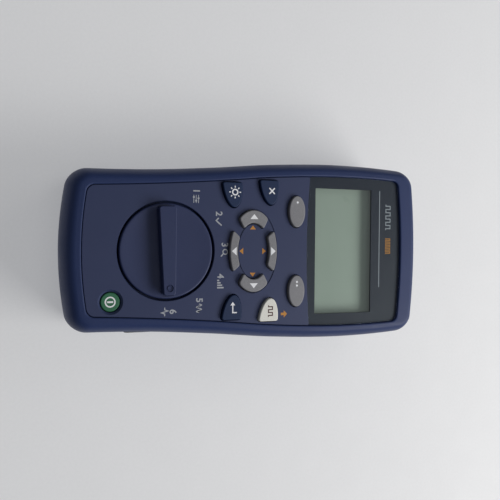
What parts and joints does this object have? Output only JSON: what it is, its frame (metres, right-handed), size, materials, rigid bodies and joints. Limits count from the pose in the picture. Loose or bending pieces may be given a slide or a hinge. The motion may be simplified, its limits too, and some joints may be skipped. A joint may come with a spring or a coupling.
{
  "type": "network cable tester",
  "caption": "Handheld cable tester: waisted two-shell case with a smoked display window, oval keypad, rotary selector, end sockets and a battery door in the back.",
  "frame": {"origin": "on the plane that the back rests on, under the middle of the case's length and width", "axes": "+Z out of the front face, +Y along the case towards the display and the end sockets, +X to the user's right"},
  "size_m": [0.0854, 0.177, 0.0427],
  "materials": {
    "navy_case": "moulded, fine satin texture",
    "slate_panel": "satin face inlay",
    "smoke_lens": "smoked, smooth",
    "lcd_green": "grey-green reflective display",
    "grey_key": "matt silicone key",
    "navy_key": "matt silicone key",
    "ivory_key": "matt silicone key",
    "green_key": "matt silicone key",
    "black_plastic": "moulded",
    "white_plastic": "moulded",
    "board_green": "fibreglass board with solder mask",
    "grey_silicone": "matt silicone",
    "bright_steel": "bright plated steel",
    "gold_brass": "gold-plated",
    "battery_sleeve": "printed cell sleeve"
  },
  "bodies": {
    "case": {"front_case": "navy_case", "rear_case": "navy_case", "face_panel": "slate_panel", "display_lens": "smoke_lens", "lcd_glass": "lcd_green", "lcd_frame": "black_plastic", "detent_ring": "black_plastic", "power_switch": "black_plastic", "processor_chip": "black_plastic", "speaker": "black_plastic", "end_panel": "black_plastic", "network_jack": "black_plastic", "lcd_backlight": "white_plastic", "coax_insulator": "white_plastic", "main_board": "board_green", "keypad_mat": "grey_silicone", "lcd_connector": "grey_silicone", "dome_sheet": "bright_steel", "rf_shield": "bright_steel", "usb_socket": "bright_steel", "jack_shield": "bright_steel", "coax_connector": "bright_steel", "coax_nut": "bright_steel", "case_screw_1": "bright_steel", "case_screw_2": "bright_steel", "case_screw_3": "bright_steel", "case_screw_4": "bright_steel", "battery_contact_1": "bright_steel", "battery_contact_2": "bright_steel", "battery_contact_3": "bright_steel", "battery_contact_4": "bright_steel", "battery_contact_5": "bright_steel", "jack_contacts": "gold_brass", "battery_1": "battery_sleeve", "battery_2": "battery_sleeve", "battery_3": "battery_sleeve", "battery_4": "battery_sleeve"},
    "selector": {"selector_knob": "navy_case", "selector_rotor": "black_plastic", "detent_ball_left": "bright_steel", "detent_ball_right": "bright_steel", "detent_spring_left": "bright_steel", "detent_spring_right": "bright_steel", "selector_wiper": "gold_brass", "selector_screw": "bright_steel"},
    "key_soft_left": {"key_soft_left": "grey_key"},
    "key_soft_right": {"key_soft_right": "grey_key"},
    "key_arrow_up": {"key_arrow_up": "grey_key"},
    "key_arrow_down": {"key_arrow_down": "grey_key"},
    "key_arrow_left": {"key_arrow_left": "grey_key"},
    "key_arrow_right": {"key_arrow_right": "grey_key"},
    "key_backlight": {"key_backlight": "navy_key"},
    "key_exit": {"key_exit": "navy_key"},
    "key_enter": {"key_enter": "navy_key"},
    "key_test": {"key_test": "ivory_key"},
    "key_power": {"key_power": "green_key"},
    "battery_door": {"battery_door": "black_plastic"},
    "door_screw": {"door_screw": "bright_steel"},
    "port_cover": {"port_cover": "black_plastic"}
  },
  "joints": [
    {"name": "selector_turn", "type": "hinge", "parent": "case", "child": "selector", "pos_m": [0, -0.04315, 0.0377], "axis": [0, 0, 1], "range_deg": [0, 150]},
    {"name": "key_soft_left_press", "type": "slide", "parent": "case", "child": "key_soft_left", "axis": [0, 0, -1], "range_m": [0, 0.0009], "stiffness_N_per_m": 1200},
    {"name": "key_soft_right_press", "type": "slide", "parent": "case", "child": "key_soft_right", "axis": [0, 0, -1], "range_m": [0, 0.0009], "stiffness_N_per_m": 1200},
    {"name": "key_arrow_up_press", "type": "slide", "parent": "case", "child": "key_arrow_up", "axis": [0, 0, -1], "range_m": [0, 0.0009], "stiffness_N_per_m": 1200},
    {"name": "key_arrow_down_press", "type": "slide", "parent": "case", "child": "key_arrow_down", "axis": [0, 0, -1], "range_m": [0, 0.0009], "stiffness_N_per_m": 1200},
    {"name": "key_arrow_left_press", "type": "slide", "parent": "case", "child": "key_arrow_left", "axis": [0, 0, -1], "range_m": [0, 0.0009], "stiffness_N_per_m": 1200},
    {"name": "key_arrow_right_press", "type": "slide", "parent": "case", "child": "key_arrow_right", "axis": [0, 0, -1], "range_m": [0, 0.0009], "stiffness_N_per_m": 1200},
    {"name": "key_backlight_press", "type": "slide", "parent": "case", "child": "key_backlight", "axis": [0, 0, -1], "range_m": [0, 0.0009], "stiffness_N_per_m": 1200},
    {"name": "key_exit_press", "type": "slide", "parent": "case", "child": "key_exit", "axis": [0, 0, -1], "range_m": [0, 0.0009], "stiffness_N_per_m": 1200},
    {"name": "key_enter_press", "type": "slide", "parent": "case", "child": "key_enter", "axis": [0, 0, -1], "range_m": [0, 0.0009], "stiffness_N_per_m": 1200},
    {"name": "key_test_press", "type": "slide", "parent": "case", "child": "key_test", "axis": [0, 0, -1], "range_m": [0, 0.0009], "stiffness_N_per_m": 1200},
    {"name": "key_power_press", "type": "slide", "parent": "case", "child": "key_power", "axis": [0, 0, -1], "range_m": [0, 0.0009], "stiffness_N_per_m": 1200},
    {"name": "battery_door_swing", "type": "hinge", "parent": "case", "child": "battery_door", "pos_m": [0, -0.0724, 0], "axis": [-1, 0, 0], "range_deg": [0, 40]},
    {"name": "door_screw_turn", "type": "hinge", "parent": "battery_door", "child": "door_screw", "pos_m": [0, -0.0095, 0.0005], "axis": [0, 0, -1], "range_deg": [0, 90]},
    {"name": "port_cover_swing", "type": "hinge", "parent": "case", "child": "port_cover", "pos_m": [0.03664, -0.0595, 0.0242], "axis": [0, 0, -1], "range_deg": [0, 95], "stiffness_Nm_per_rad": 0.0005}
  ]
}
